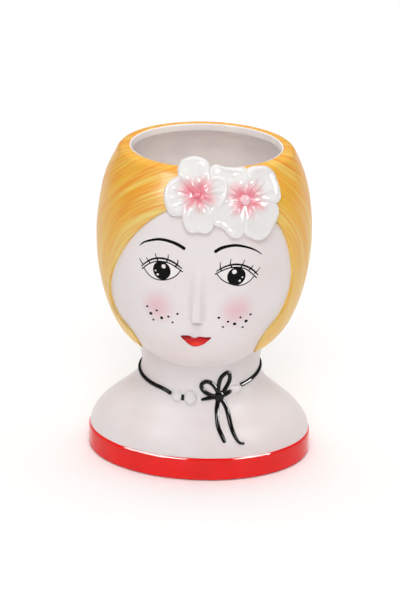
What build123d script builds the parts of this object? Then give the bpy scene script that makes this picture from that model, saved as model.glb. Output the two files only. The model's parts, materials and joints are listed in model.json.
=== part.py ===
from build123d import *
from math import cos, radians, sin, sqrt
import os

# A slip-cast head planter: a hollow head on a neck and shoulders, open at the crown, with raised hair,
# two four-petalled blossoms luted over the forehead, a ribbon choker with clay pearls and a bow,
# and a raised band round the foot. The face looks along -Y and the planter stands on Z = 0.

# Head, from the mouth at the crown down to the jaw
rim_height = 218 * MM
mouth_width = 113 * MM
mouth_depth = 109 * MM
brow_height = 155 * MM
head_width = 141 * MM
head_front = 73.5 * MM
head_back = 71.5 * MM
jaw_height = 72 * MM
jaw_width = 52 * MM
jaw_front = 34 * MM
jaw_back = 6 * MM

# Neck, shoulders and foot
collar_height = 92 * MM
collar_swell = 3 * MM
neck_height = 64 * MM
neck_width = 81 * MM
neck_depth = 80 * MM
foot_width = 151 * MM
foot_depth = 117 * MM
foot_recess = 2.5 * MM
foot_ring = 7 * MM
foot_bevel = 1 * MM

# Wall, floor and drain
wall = 4.5 * MM
lip_round = 2 * MM
floor_thickness = 5 * MM
drain_radius = 6 * MM

# Raised band round the foot
band_height = 16.5 * MM
band_lift = 0.6 * MM
band_relief = 1.5 * MM
band_bevel = 1 * MM

# Hair and its opening for the face
hair_relief = 2.7 * MM
fringe_relief = 1.6 * MM
hair_hem = 86 * MM
hair_top_gap = 2.5 * MM
face_reach = 59.5 * MM
face_middle = 133 * MM
face_rise = 67 * MM

# Nose and lips
nose_across = 0.5 * MM
nose_base = 120 * MM
nose_bridge = 157 * MM
nose_width = 8.5 * MM
nose_length = 7 * MM
nose_sink = 3 * MM
nose_round = 1.2 * MM
lips_height = 105 * MM
lips_reach = 9.7 * MM
lips_relief = 1.5 * MM

# Blossoms: their petals are cut from a domed form that wraps the forehead
blossom_share = 0.238
blossom_tilt = 21
petal_stand = 3.5 * MM
petal_thickness = 7 * MM
petal_lift = 1.2 * MM
throat_radius = 14 * MM
throat_depth = 2.4 * MM
left_flower_across = -1.4 * MM
left_flower_up = 9.8 * MM
left_petal_reach = 25 * MM
left_centre_radius = 2.6 * MM
right_flower_across = 28.8 * MM
right_flower_up = 8.1 * MM
right_petal_reach = 29 * MM
right_centre_radius = 3.3 * MM

# Choker, pearls and bow
coil_width = 2.9 * MM
coil_relief = 1.5 * MM
choker_height = 53 * MM
choker_rise = 8 * MM
choker_tilt = -2.6
choker_left_end = -16.2 * MM
choker_right_end = 30 * MM
pearl_height = 52 * MM
outer_pearl_across = -13.4 * MM
outer_pearl_radius = 3.5 * MM
inner_pearl_across = -4 * MM
inner_pearl_radius = 4.6 * MM
right_pearl_across = 25.8 * MM
right_pearl_height = 56.8 * MM
right_pearl_radius = 3.5 * MM
link_across = -9.3 * MM
link_width = 2.8 * MM
link_height = 5 * MM
knot_across = 15 * MM
knot_height = 53.3 * MM
knot_width = 5.6 * MM
knot_length = 7.6 * MM
bow_reach = 20 * MM

# Rows down from the brow to the jaw: height, width, front and back shares
jaw_shares = (
    (0.205, 0.973, 0.99, 0.997),
    (0.422, 0.897, 0.929, 0.959),
    (0.614, 0.771, 0.818, 0.861),
    (0.759, 0.596, 0.671, 0.679),
    (0.855, 0.371, 0.506, 0.443),
    (0.94, 0.135, 0.253, 0.183),
    (1, 0, 0, 0),
)
# Rows up from the brow to the mouth: height share, then the share left of the brow's extra reach
crown_shares = ((0.27, 0.95), (0.524, 0.78), (0.714, 0.55), (0.857, 0.27), (0.952, 0.08), (1, 0))
# Rows up from the foot band to the neck: height share, then the shares left of the foot's extra reach
shoulder_shares = (
    (0, 1, 1),
    (0.2, 0.9, 0.827),
    (0.368, 0.709, 0.546),
    (0.537, 0.429, 0.189),
    (0.705, 0.163, 0.01),
    (0.853, 0.043, 0),
    (1, 0, 0),
)
# Rows up from the neck into the head: share of the collar's height and swell
collar_shares = (0.25, 0.5, 0.75, 1)
# Rows up the nose: height, width and standing-out shares
nose_shares = ((0, 0.95, 0.85), (0.1, 1, 1), (0.35, 0.85, 0.74), (0.7, 0.7, 0.36), (1, 0.6, -0.1))
# Outline of the face opening, from the parting down the left cheek and up the right one
left_hairline_shares = (
    (-0.296, 0.927),
    (-0.534, 0.782),
    (-0.70, 0.613),
    (-0.859, 0.367),
    (-0.965, 0.106),
    (-0.99, -0.148),
    (-0.908, -0.354),
    (-0.724, -0.49),
    (-0.6, -0.8),
)
right_hairline_shares = (
    (0.6, -0.8),
    (0.716, -0.457),
    (0.894, -0.243),
    (0.985, -0.042),
    (1.008, 0.175),
    (0.976, 0.4),
    (0.904, 0.621),
    (0.75, 0.83),
    (0.3, 0.95),
)
# Edges of the lips: upper left, upper right and lower
upper_left_lip_shares = ((-1, 0.36), (-0.7, 0.45), (-0.4, 0.48), (-0.13, 0.32))
upper_right_lip_shares = ((-0.13, 0.32), (0.2, 0.46), (0.6, 0.4), (1, 0.36))
lower_lip_shares = ((1, 0.36), (0.4, -0.22), (-0.09, -0.4), (-0.5, -0.2), (-1, 0.36))
# Outline of a petal along its reach and across its spread
petal_shares = (
    (-0.02, 0),
    (0.25, 0.62),
    (0.58, 1),
    (0.87, 0.84),
    (1, 0.4),
    (0.97, 0),
    (1, -0.4),
    (0.87, -0.84),
    (0.58, -1),
    (0.25, -0.62),
)
# Petals from front to back: direction, then shares of the flower's reach for length and half breadth,
# and the share of the lift
petal_direction_shares = (
    ("left_flower_inner_petal", 5, 0.76, 0.42, 1),
    ("left_flower_top_petal", 102, 1, 0.46, 0.75),
    ("left_flower_low_petal", 272, 1, 0.5, 0.5),
    ("left_flower_side_petal", 186, 0.86, 0.52, 0.1),
    ("right_flower_high_outer_petal", 45, 1, 0.55, 0.6),
    ("right_flower_low_outer_petal", -48, 1.03, 0.57, 0.4),
    ("right_flower_high_inner_petal", 137, 0.93, 0.55, 0.2),
    ("right_flower_low_inner_petal", 236, 0.97, 0.52, 0),
)
# Choker seen from the side: shares of the neck's half depth and of the choker's rise to the nape
choker_shares = (
    (-1.2, -1),
    (-0.96, -0.1),
    (-0.89, 0.26),
    (-0.75, 0.51),
    (-0.43, 0.69),
    (0, 0.86),
    (0.5, 0.97),
    (1.2, 1),
)
# Strokes of the bow from its knot
left_loop_shares = (
    (-0.08, -0.02),
    (-0.36, 0.1),
    (-0.57, 0.28),
    (-0.6, 0.44),
    (-0.46, 0.56),
    (-0.24, 0.46),
    (-0.06, 0.14),
)
right_loop_shares = (
    (-0.04, 0.12),
    (-0.02, 0.45),
    (0.09, 0.74),
    (0.26, 0.84),
    (0.33, 0.67),
    (0.28, 0.42),
    (0.08, 0.08),
)
left_end_shares = ((-0.05, 0.01), (-0.36, -0.05), (-0.61, -0.11))
right_end_shares = ((0.04, 0.02), (0.25, 0.08), (0.4, 0.15))
left_tail_shares = ((-0.02, -0.1), (-0.06, -0.4), (-0.04, -0.66), (0.02, -0.91), (0.14, -1.12), (0.28, -1.36))
right_tail_shares = (
    (0.05, -0.08),
    (0.25, -0.39),
    (0.36, -0.68),
    (0.47, -0.96),
    (0.63, -1.24),
    (0.78, -1.39),
    (0.93, -1.42),
)

foot_reaches = (foot_width / 2, foot_depth / 2, foot_depth / 2)
neck_reaches = (neck_width / 2, neck_depth / 2, neck_depth / 2)
brow_reaches = (head_width / 2, head_front, head_back)
jaw_reaches = (jaw_width / 2, jaw_front, jaw_back)
mouth_reaches = (mouth_width / 2, mouth_depth / 2, mouth_depth / 2)
dome_radius = head_front + petal_stand


def between(low, high, share):
    """Finds the size that lies a share of the way from low to high."""
    return low + (high - low) * share


def row(height, low_reaches, high_reaches, *shares):
    """Makes one row of height, half width, front and back between two others."""
    return (height, *map(between, low_reaches, high_reaches, shares))


def swollen(rows, side, front, back):
    """Lets rows out by a relief to the sides, the front and the back."""
    return [(height, a + side, b + front, c + back) for height, a, b, c in rows]


def lined(rows):
    """Takes rows in by the wall, measured square to the slope of the surface."""
    inner = []
    for index, (height, *reaches) in enumerate(rows):
        below = rows[max(index - 1, 0)]
        above = rows[min(index + 1, len(rows) - 1)]
        rise = above[0] - below[0]
        slopes = [(upper - lower) / rise for upper, lower in zip(above[1:], below[1:])]
        insets = [wall * sqrt(1 + slope**2) for slope in slopes]
        inner.append((height, *(reach - inset for reach, inset in zip(reaches, insets))))
    return inner


def ovals(rows):
    """Draws a level oval for each row."""
    sections = []
    for height, half_width, front, back in rows:
        with BuildSketch(Plane.XY.offset(height)) as section:
            with Locations((0, (back - front) / 2)):
                Ellipse(half_width, (front + back) / 2)
        sections.append(section.sketch)
    return sections


def front_of(body, across, height):
    """Finds the point on the front of a body at a place across and up."""
    sight = Axis((across, -foot_width, height), (0, 1, 0))
    return body.find_intersection_points(sight)[0][0]


def drawn(shares, across, up, reach, rise):
    """Turns shares of a reach and a rise into points about a centre."""
    return [(across + reach * x, up + rise * y) for x, y in shares]


head_rows = [row(between(brow_height, jaw_height, down), jaw_reaches, brow_reaches, *shares)
             for down, *shares in reversed(jaw_shares)]
head_rows.append((brow_height, *brow_reaches))
head_rows += [row(between(brow_height, rim_height, up), mouth_reaches, brow_reaches, left, left, left)
              for up, left in crown_shares]
shoulder_rows = [row(between(band_height, neck_height, up), neck_reaches, foot_reaches, side, front, front)
                 for up, side, front in shoulder_shares]
collar_rows = [(between(neck_height, collar_height, up), *(reach + collar_swell * up for reach in neck_reaches))
               for up in collar_shares]
bust_rows = [*shoulder_rows, *collar_rows]
foot_rows = [(0, *(reach - foot_bevel for reach in foot_reaches)), (foot_bevel, *foot_reaches), bust_rows[0]]

# Plain forms that the pieces are cut from and seated on
with BuildPart() as head_form:
    loft(ovals(head_rows))

with BuildPart() as bust_form:
    loft(ovals(bust_rows))
    loft(ovals(foot_rows), ruled=True)

with BuildPart() as hair_form:
    loft(ovals(swollen(head_rows, hair_relief, fringe_relief, hair_relief)))

# The casting is one piece: head, nose, neck, shoulders and floor
with BuildPart() as casting:
    add(head_form.part)
    add(bust_form.part)
    for up, wide, out in nose_shares:
        height = between(nose_base, nose_bridge, up)
        root = front_of(head_form.part, nose_across, height)
        with BuildSketch(Plane.XY.offset(height)):
            with Locations((root.X, root.Y + nose_sink)):
                Ellipse(nose_width / 2 * wide, nose_sink + nose_length * out)
    loft()
    nose_tip = front_of(casting.part, nose_across, nose_base + nose_round)
    fillet(casting.edges().sort_by_distance(nose_tip)[0], nose_round)
    floor_top = foot_recess + floor_thickness
    loft(ovals(lined([(floor_top, *foot_reaches), *bust_rows])), mode=Mode.SUBTRACT)
    loft(ovals(lined(head_rows)), mode=Mode.SUBTRACT)
    with BuildSketch(Plane.XY):
        Ellipse(foot_width / 2 - foot_ring, foot_depth / 2 - foot_ring)
    extrude(amount=foot_recess, mode=Mode.SUBTRACT)
    with BuildSketch(Plane.XY):
        Circle(drain_radius)
    extrude(amount=floor_top, mode=Mode.SUBTRACT)
    fillet(casting.faces().sort_by(Axis.Z)[-1].edges(), lip_round)

# The hair leaves an opening for the face and stops short of the rounded lip and of the nape
with BuildPart() as hair:
    add(hair_form.part)
    with BuildSketch(Plane.XZ):
        with BuildLine():
            left_hairline = Spline(*drawn(left_hairline_shares, 0, face_middle, face_reach, face_rise))
            right_hairline = Spline(*drawn(right_hairline_shares, 0, face_middle, face_reach, face_rise))
            Line(left_hairline @ 1, right_hairline @ 0)
            Line(right_hairline @ 1, left_hairline @ 0)
        make_face()
    extrude(amount=head_width, mode=Mode.SUBTRACT)
    split(bisect_by=Plane.XY.offset(hair_hem), keep=Keep.TOP)
    split(bisect_by=Plane.XY.offset(rim_height - hair_top_gap), keep=Keep.BOTTOM)
    add(head_form.part, mode=Mode.SUBTRACT)
    add(bust_form.part, mode=Mode.SUBTRACT)

# The band is bevelled at its foot and its top
band_steps = (
    (band_lift, band_bevel),
    (band_lift + band_bevel, 0),
    (band_height - band_bevel, 0),
    (band_height, band_bevel),
)
band_rows = [(up, *(reach + band_relief - inset for reach in foot_reaches)) for up, inset in band_steps]
with BuildPart() as foot_band:
    loft(ovals(band_rows), ruled=True)
    add(bust_form.part, mode=Mode.SUBTRACT)

with BuildPart() as lips:
    loft(ovals(swollen(head_rows, lips_relief, lips_relief, lips_relief)))
    with BuildSketch(Plane.XZ):
        with BuildLine():
            for shares in (upper_left_lip_shares, upper_right_lip_shares, lower_lip_shares):
                Spline(*drawn(shares, 0, lips_height, lips_reach, lips_reach))
        make_face()
    extrude(amount=head_width, mode=Mode.INTERSECT)
    add(head_form.part, mode=Mode.SUBTRACT)


# Every blossom is drawn on one plane that faces the viewer; front petals come first and cut the others
blossom_plane = Plane(
    origin=(0, 0, between(brow_height, rim_height, blossom_share)),
    x_dir=(1, 0, 0),
    z_dir=(0, -cos(radians(blossom_tilt)), sin(radians(blossom_tilt))),
)


def dome_point(across, up, depth=0 * MM):
    """Finds a point on the petals' dome, or at a depth below it, from its place on the blossom plane."""
    place = Vector(across, up, sqrt(dome_radius**2 - across**2 - up**2))
    return blossom_plane.from_local_coords(place * ((dome_radius - depth) / dome_radius))


def flower_centre(across, up, radius):
    """Makes the clay bead at the bottom of a blossom's throat."""
    with BuildPart() as bead:
        with Locations(dome_point(across, up, throat_depth)):
            Sphere(radius)
        add(head_form.part, mode=Mode.SUBTRACT)
        add(hair.part, mode=Mode.SUBTRACT)
    return bead


left_flower_centre = flower_centre(left_flower_across, left_flower_up, left_centre_radius)
right_flower_centre = flower_centre(right_flower_across, right_flower_up, right_centre_radius)

left_flower = (left_flower_across, left_flower_up, left_petal_reach, left_flower_centre)
right_flower = (right_flower_across, right_flower_up, right_petal_reach, right_flower_centre)

petals = {}
petal_outlines = []
for name, direction, long_share, broad_share, lift_share in petal_direction_shares:
    across, up, reach, centre = left_flower if name.startswith("left") else right_flower
    with BuildSketch() as outline:
        with BuildLine(Location((across, up), direction)):
            Spline(*drawn(petal_shares, 0, 0, reach * long_share, reach * broad_share), periodic=True)
        make_face()
    with BuildPart() as petal:
        with BuildSketch(blossom_plane):
            add(outline.sketch)
            for laid in petal_outlines:
                add(laid, mode=Mode.SUBTRACT)
        extrude(amount=head_width)
        with Locations(blossom_plane.origin):
            Sphere(dome_radius + petal_lift * lift_share, mode=Mode.INTERSECT)
            Sphere(dome_radius - petal_thickness, mode=Mode.SUBTRACT)
        with Locations(dome_point(across, up, throat_depth - throat_radius)):
            Sphere(throat_radius, mode=Mode.SUBTRACT)
        add(head_form.part, mode=Mode.SUBTRACT)
        add(hair.part, mode=Mode.SUBTRACT)
        add(centre.part, mode=Mode.SUBTRACT)
    petal_outlines.append(outline.sketch)
    petals[name] = petal


def pearl(across, height, radius):
    """Makes a half-round pearl luted to the front of the neck."""
    with BuildPart() as bead:
        with Locations(front_of(bust_form.part, across, height)):
            Sphere(radius)
        add(bust_form.part, mode=Mode.SUBTRACT)
    return bead


pearl_outer = pearl(outer_pearl_across, pearl_height, outer_pearl_radius)
pearl_inner = pearl(inner_pearl_across, pearl_height, inner_pearl_radius)
pearl_right = pearl(right_pearl_across, right_pearl_height, right_pearl_radius)

# The choker and the bow are coils pressed flat on the skin: outlines cut down to their relief
with BuildPart() as coil_form:
    loft(ovals(swollen(bust_rows, coil_relief, coil_relief, coil_relief)))


def pressed(outline, *neighbours):
    """Makes a coil of an outline seen from the front, fitted to the skin and to the pearls beside it."""
    with BuildPart() as coil:
        with BuildSketch(Plane.XZ):
            add(outline)
        extrude(amount=foot_depth)
        add(coil_form.part, mode=Mode.INTERSECT)
        for neighbour in (bust_form, *neighbours):
            add(neighbour.part, mode=Mode.SUBTRACT)
    return coil


with BuildPart() as choker_band:
    with BuildSketch(Plane.YZ.rotated((0, choker_tilt, 0))):
        with BuildLine():
            Spline(*drawn(choker_shares, 0, choker_height, neck_depth / 2, choker_rise))
        trace(line_width=coil_width)
    extrude(amount=neck_width, both=True)
    with BuildSketch(Plane.XY):
        with Locations((choker_left_end, 0)):
            Rectangle(choker_right_end - choker_left_end, foot_depth, align=(Align.MIN, Align.MAX))
    extrude(amount=collar_height, mode=Mode.SUBTRACT)
    add(coil_form.part, mode=Mode.INTERSECT)
    add(bust_form.part, mode=Mode.SUBTRACT)
    add(pearl_outer.part, mode=Mode.SUBTRACT)

with BuildSketch() as link_outline:
    with Locations((link_across, pearl_height)):
        Ellipse(link_width / 2, link_height / 2)
choker_link = pressed(link_outline.sketch, pearl_outer, pearl_inner)

with BuildSketch() as knot_outline:
    with Locations((knot_across, knot_height)):
        Ellipse(knot_width / 2, knot_length / 2)

bow_table = (
    ("bow_left_loop", left_loop_shares),
    ("bow_right_loop", right_loop_shares),
    ("bow_left_end", left_end_shares),
    ("bow_right_end", right_end_shares),
    ("bow_left_tail", left_tail_shares),
    ("bow_right_tail", right_tail_shares),
)
bow_outlines = {"bow_knot": knot_outline.sketch}
for name, shares in bow_table:
    with BuildSketch() as stroke:
        run = Spline(*drawn(shares, knot_across, knot_height, bow_reach, bow_reach))
        for half in (run.trim(0, 1 / 2), run.trim(1 / 2, 1)):
            trace(half, coil_width)
        with Locations(run @ 0, run @ 1):
            Circle(coil_width / 2)
        for laid in bow_outlines.values():
            add(laid, mode=Mode.SUBTRACT)
    bow_outlines[name] = stroke.sketch

pieces = {
    "casting": casting,
    "hair": hair,
    "foot_band": foot_band,
    "lips": lips,
    "left_flower_centre": left_flower_centre,
    "right_flower_centre": right_flower_centre,
    "pearl_outer": pearl_outer,
    "pearl_inner": pearl_inner,
    "pearl_right": pearl_right,
    "choker_band": choker_band,
    "choker_link": choker_link,
    **petals,
    **{name: pressed(outline, pearl_right) for name, outline in bow_outlines.items()},
}

os.makedirs("parts", exist_ok=True)
for name, piece in pieces.items():
    piece.part.label = name
    export_step(piece.part, f"parts/{name}.step")
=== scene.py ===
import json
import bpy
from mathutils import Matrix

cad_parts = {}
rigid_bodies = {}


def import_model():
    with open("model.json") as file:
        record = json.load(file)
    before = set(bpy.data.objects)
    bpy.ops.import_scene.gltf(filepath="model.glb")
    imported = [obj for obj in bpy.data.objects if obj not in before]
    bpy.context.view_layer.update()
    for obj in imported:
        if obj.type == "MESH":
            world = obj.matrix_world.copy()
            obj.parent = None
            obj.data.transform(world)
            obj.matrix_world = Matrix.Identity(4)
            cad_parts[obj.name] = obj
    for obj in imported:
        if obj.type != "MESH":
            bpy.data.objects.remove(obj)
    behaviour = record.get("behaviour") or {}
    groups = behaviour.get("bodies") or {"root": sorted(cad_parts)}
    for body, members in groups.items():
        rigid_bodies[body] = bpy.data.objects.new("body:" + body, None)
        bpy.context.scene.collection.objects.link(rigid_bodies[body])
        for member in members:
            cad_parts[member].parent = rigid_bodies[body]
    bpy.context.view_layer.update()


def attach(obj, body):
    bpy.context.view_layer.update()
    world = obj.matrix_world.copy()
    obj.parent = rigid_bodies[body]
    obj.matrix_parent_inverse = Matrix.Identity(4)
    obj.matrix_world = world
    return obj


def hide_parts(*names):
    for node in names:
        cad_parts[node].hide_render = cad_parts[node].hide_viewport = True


bl_info = {
    "name": "Head planter",
    "version": (1, 0, 0),
    "blender": (4, 5, 0),
    "location": "3D View > Sidebar > Planter",
    "description": "Glazes and finishes a head planter with blossoms in its hair",
    "category": "Add Mesh",
}

from functools import cache, partial
from math import radians, tan

import bmesh
import bpy
import numpy as np
from bpy.props import FloatProperty, FloatVectorProperty, PointerProperty
from mathutils import Matrix, Vector

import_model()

# Tables below are in millimetres; the meshes are made in metres
MM = 0.001
# Attributes that the petals' and the hair's glazes read
BLOOM = "bloom"
STRAND = "strand"

# Level sections of the head: height, half width, front reach, back reach
HEAD_ROWS = (
    (72.0, 26.0, 34.0, 6.0),
    (77.0, 32.0, 44.0, 18.0),
    (84.0, 42.5, 54.0, 35.0),
    (92.0, 52.5, 60.5, 50.5),
    (104.0, 60.3, 66.3, 62.4),
    (120.0, 65.9, 70.7, 68.8),
    (138.0, 69.3, 73.1, 71.3),
    (155.0, 70.5, 73.5, 71.5),
    (172.0, 69.8, 72.6, 70.7),
    (188.0, 67.4, 69.3, 67.8),
    (200.0, 64.2, 65.0, 63.9),
    (209.0, 60.3, 59.6, 59.1),
    (215.0, 57.6, 56.0, 55.9),
    (218.0, 56.5, 54.5, 54.5),
)
# Level sections of the foot, the shoulders and the neck
BUST_ROWS = (
    (0.0, 75.5, 58.5, 58.5),
    (8.0, 75.5, 58.5, 58.5),
    (16.5, 75.9, 58.9, 58.9),
    (21.0, 74.9, 57.9, 57.9),
    (26.0, 72.3, 55.6, 55.6),
    (34.0, 65.3, 50.1, 50.1),
    (42.0, 55.5, 43.5, 43.5),
    (50.0, 46.2, 40.2, 40.2),
    (57.0, 42.0, 40.0, 40.0),
    (64.0, 40.5, 40.0, 40.0),
    (71.0, 41.2, 40.8, 40.8),
    (92.0, 43.5, 43.0, 43.0),
    (100.0, 44.4, 43.9, 43.9),
)
# The head starts at the tip of the jaw, the neck runs up inside it to the collar, and their corner is filled
JAW_TIP = 72.0
COLLAR_TOP = 98.0
JAW_BLEND = 1.0
# The foot's outline is taken at this height, for the foot and for the band round it
FOOT_LEVEL = 5.0
# Level rows up the outside, closer under the jaw and round the nose and lips: from, to and how many
OUTSIDE_RUNS = ((1, 16, 8), (18, 70, 28), (70.6, 92, 50), (93.2, 116, 22), (117, 123, 16), (124.2, 170, 40))
# Radius of the corner between the inner wall and the floor
FLOOR_CORNER = 6.0

# The mouth's lip: height of its roll, how far it leans in past the lip's width, how far it swells out, the
# softness of its outer corner, the radius of its inner edge, and rows below that: how far down and out
LIP_ROLL = 7.0
LIP_LEAN = 1.4
LIP_SWELL = 1.5
LIP_BLEND = 2.5
LIP_ROUND = 0.9
UNDER_LIP = ((1.8, 0.35), (2.8, 0.15), (3.8, 0), (4.4, 0.1), (4.8, 0.5), (5.0, 1.1), (5.6, 1.7))

# Nose ridge: height and how far it stands out of the face
NOSE_ROWS = ((118.0, 7.0), (124.0, 7.1), (133.0, 5.4), (146.0, 2.9), (157.0, 0.9), (166.0, 0.1), (175.0, 0.0))
# Where the ridge ends at the brow, how far to the right it runs, and where it starts under the nose's tip
NOSE_TOP = 175
NOSE_ACROSS = 0.4
NOSE_BASE = (121.0, 122.3)
# Soft relief of the face, by where across is measured from: relief, middle, reach across and up
FACE_RELIEF = {
    # Cheeks and eyelids, alike on both sides
    "sides": ((0.9, (27, 130), (13, 14)), (0.5, (24, 154.5), (12, 8))),
    # Corners of the eyes and hollows beside the nose
    "nose": ((-0.7, (8.5, 150), (4.5, 11)), (-0.45, (6.5, 132), (2.8, 13))),
    # Mouth, groove under the nose, groove under the lip, and chin
    "middle": ((0.9, (0, 105.2), (12, 7.5)), (-0.15, (-0.2, 114), (1.7, 4.2)),
               (-0.35, (-0.4, 98.6), (7.5, 1.6)), (0.9, (0, 91), (13, 6))),
}

# Edge of the hair round the face, down the left side and the right side: across, height
LEFT_HAIRLINE = (
    (0.0, 199.2), (-9.0, 198.0), (-17.6, 195.1), (-31.8, 185.4), (-41.7, 174.1), (-51.1, 157.6),
    (-57.4, 140.1), (-58.9, 123.1), (-54.0, 109.3), (-43.1, 100.2), (-36.5, 84.0),
)
RIGHT_HAIRLINE = (
    (0.0, 199.2), (9.0, 198.6), (17.9, 197.0), (44.6, 188.6), (53.8, 174.6), (58.1, 159.8),
    (60.0, 144.7), (58.6, 130.2), (53.2, 116.7), (42.6, 102.4), (36.0, 84.0),
)
# Radii on which the sides and the front of the head are unrolled, and the height that the comb runs round
HEAD_ROUND = 70.0
FACE_ROUND = 66.0
COMB_CENTRE = 128
# The strands straighten between these angles from the front, in radians
COMB_TURN = (1.0, 2.6)
# How far the hair's edge is sunk, its rounding, its thinnest at the lip, and how deep its lining lies
HAIR_SINK = 0.5
HAIR_ROUND = 3.2
HAIR_FILM = 0.3
HAIR_LINING = 1.4
# Brush marks in the yellow, fine and broad: width and length
BRUSH_MARKS = ((1.7, 45.0), (6.0, 90.0))
# Seeds for the comb's broad grooves, fine ones, their wandering, and where they come and go
COMB_SEEDS = (3, 7, 5, 11)

# The foot band: how deep its back lies, the radii of its lower and upper corners, and the heights between
# which its face wanders, with its edge wandering above them
BAND_SINK = 1.0
BAND_TOE = 0.9
BAND_ROUND = 4.2
BAND_FACE = (2, 15)
BAND_SEED = 21

# Middles of the blossoms, on a plane that leans back against the head, and the ball that it is bent round
LEFT_BLOSSOM = (-1.4, 9.8)
RIGHT_BLOSSOM = (29.8, 8.0)
BLOSSOM_ORIGIN = (0.0, 0.0, 170.0)
BLOSSOM_TILT = radians(21)
DOME_RADIUS = 77.0
# Petals: their blossom, how far they are lifted, and their outline across and up from its middle
PETALS = {
    "left_flower_side_petal": (LEFT_BLOSSOM, -0.6, (
        (-2.0, 1.5), (-5.0, 9.6), (-10.6, 12.4), (-16.8, 11.0), (-20.2, 8.0), (-22.3, 4.2), (-23.0, 0.4),
        (-22.8, -3.1), (-22.0, -6.9), (-20.4, -10.8), (-17.8, -13.7), (-14.2, -14.8), (-10.0, -14.2),
        (-5.4, -10.0), (-1.6, -1.8),
    )),
    "left_flower_top_petal": (LEFT_BLOSSOM, 0.7, (
        (-1.4, 1.0), (-8.8, 6.6), (-12.6, 10.0), (-14.0, 13.7), (-14.0, 17.7), (-12.5, 21.2), (-9.1, 23.8),
        (-4.6, 25.1), (0.0, 24.8), (3.8, 23.2), (6.4, 20.6), (7.5, 17.1), (7.6, 13.4), (7.6, 8.6), (1.4, 1.0),
    )),
    "left_flower_low_petal": (LEFT_BLOSSOM, 0.2, (
        (1.6, -0.6), (7.6, -5.0), (10.4, -9.4), (11.7, -14.3), (11.8, -18.9), (10.6, -22.6), (8.2, -24.7),
        (5.2, -25.3), (1.6, -24.6), (-2.0, -25.3), (-5.0, -24.5), (-7.6, -21.9), (-9.0, -17.7), (-9.8, -13.5),
        (-9.4, -8.0), (-1.6, -0.6),
    )),
    "left_flower_inner_petal": (LEFT_BLOSSOM, 1.2, (
        (0.6, 1.4), (4.6, 8.0), (8.0, 11.8), (12.2, 13.0), (16.2, 12.3), (18.7, 10.3), (19.6, 7.0),
        (19.6, 2.6), (19.0, -2.0), (17.2, -6.1), (14.9, -8.3), (12.0, -8.9), (8.8, -8.2), (5.6, -6.0),
        (0.6, -1.6),
    )),
    "right_flower_high_inner_petal": (RIGHT_BLOSSOM, -0.4, (
        (0.4, 1.0), (1.2, 8.0), (1.4, 14.0), (1.2, 19.0), (-0.8, 21.6), (-5.0, 21.8), (-9.0, 21.2),
        (-13.0, 21.3), (-17.0, 21.8), (-21.0, 22.6), (-23.8, 20.0), (-24.4, 14.0), (-24.0, 5.5),
        (-19.0, -0.8), (-8.0, -1.2), (-1.6, -0.6),
    )),
    "right_flower_high_outer_petal": (RIGHT_BLOSSOM, 0.3, (
        (0.2, 1.4), (-1.0, 8.0), (-1.1, 14.0), (-0.8, 19.4), (1.6, 22.0), (6.4, 23.2), (10.9, 23.5),
        (14.5, 22.1), (17.3, 19.4), (19.3, 15.1), (21.1, 10.6), (22.2, 6.0), (22.0, 1.4), (19.6, -1.0),
        (14.0, -1.1), (7.0, -0.9), (1.6, -0.2),
    )),
    "right_flower_low_outer_petal": (RIGHT_BLOSSOM, 0.0, (
        (1.6, 0.2), (7.0, 0.8), (14.0, 0.8), (19.6, 0.4), (21.8, -3.0), (22.3, -7.1), (21.2, -11.7),
        (19.3, -16.3), (17.0, -20.6), (14.3, -24.0), (11.0, -25.9), (7.6, -26.0), (4.2, -24.8), (0.8, -22.8),
        (-0.8, -19.6), (-1.1, -13.0), (-1.0, -7.0), (0.2, -1.6),
    )),
    "right_flower_low_inner_petal": (RIGHT_BLOSSOM, -0.2, (
        (0.2, -1.6), (1.0, -7.0), (1.2, -13.0), (1.0, -19.8), (-1.0, -24.0), (-4.2, -25.7), (-7.6, -25.2),
        (-10.6, -22.9), (-13.3, -20.0), (-16.6, -18.4), (-21.0, -17.4), (-24.0, -12.0), (-23.0, -4.0),
        (-16.0, 1.0), (-8.0, 1.0), (-1.2, 0.4),
    )),
}
TOP_PETALS = ("left_flower_top_petal", "right_flower_high_inner_petal", "right_flower_high_outer_petal")
# Ribs of a petal: degrees from its axis, and how high; how square its edge is; seeds for pleats and waves
PETAL_RIBS = ((-19, 0.6), (1, 0.85), (20, 0.7))
PETAL_SQUARE = 3.4
PLEAT_SEED = 31
WAVE_SEED = 71
# Rays of brushed pink, broad and fine: scale of their noise round the throat, and how far they run past
# the pink or fall short of it
BRUSH_RAYS = ((1.1, 2.4), (6.0, 1.1))
# Clay beads in the throats: their blossom, radius and glaze
BEADS = {
    "left_flower_centre": (LEFT_BLOSSOM, 2.5, "wash"),
    "right_flower_centre": (RIGHT_BLOSSOM, 3.5, "bead"),
}
BEAD_SINK = 2.4

# Lips: outline across and up, its middle, and where the red is brightest and most orange
LIPS = (
    (-10.0, 108.5), (-7.0, 109.2), (-4.2, 109.2), (-1.3, 107.8), (1.4, 108.7), (4.2, 108.7), (7.0, 108.4),
    (9.9, 108.2), (8.0, 105.6), (6.0, 103.6), (3.7, 102.0), (1.4, 101.0), (-0.9, 100.6), (-3.0, 101.1),
    (-5.0, 102.5), (-7.2, 104.8),
)
LIPS_CENTRE = (-0.3, 105.6)
LIPS_CROWN = (0.3, -66, 103.6)
# Brows: points across and up, and how broad the stroke is there
BROWS = {
    "left_brow": (
        ((-38.4, 167.6), (-36.0, 170.3), (-32.2, 172.5), (-24.9, 174.8), (-19.2, 174.7), (-13.5, 173.3),
         (-8.0, 170.5)),
        (0.5, 1.0, 1.4, 1.8, 2.0, 2.2, 2.2),
    ),
    "right_brow": (
        ((10.6, 169.2), (14.0, 171.5), (18.7, 172.9), (24.1, 173.2), (30.0, 171.7), (35.8, 169.0),
         (40.8, 164.9)),
        (2.2, 2.2, 2.0, 1.8, 1.5, 1.1, 0.5),
    ),
}
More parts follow.
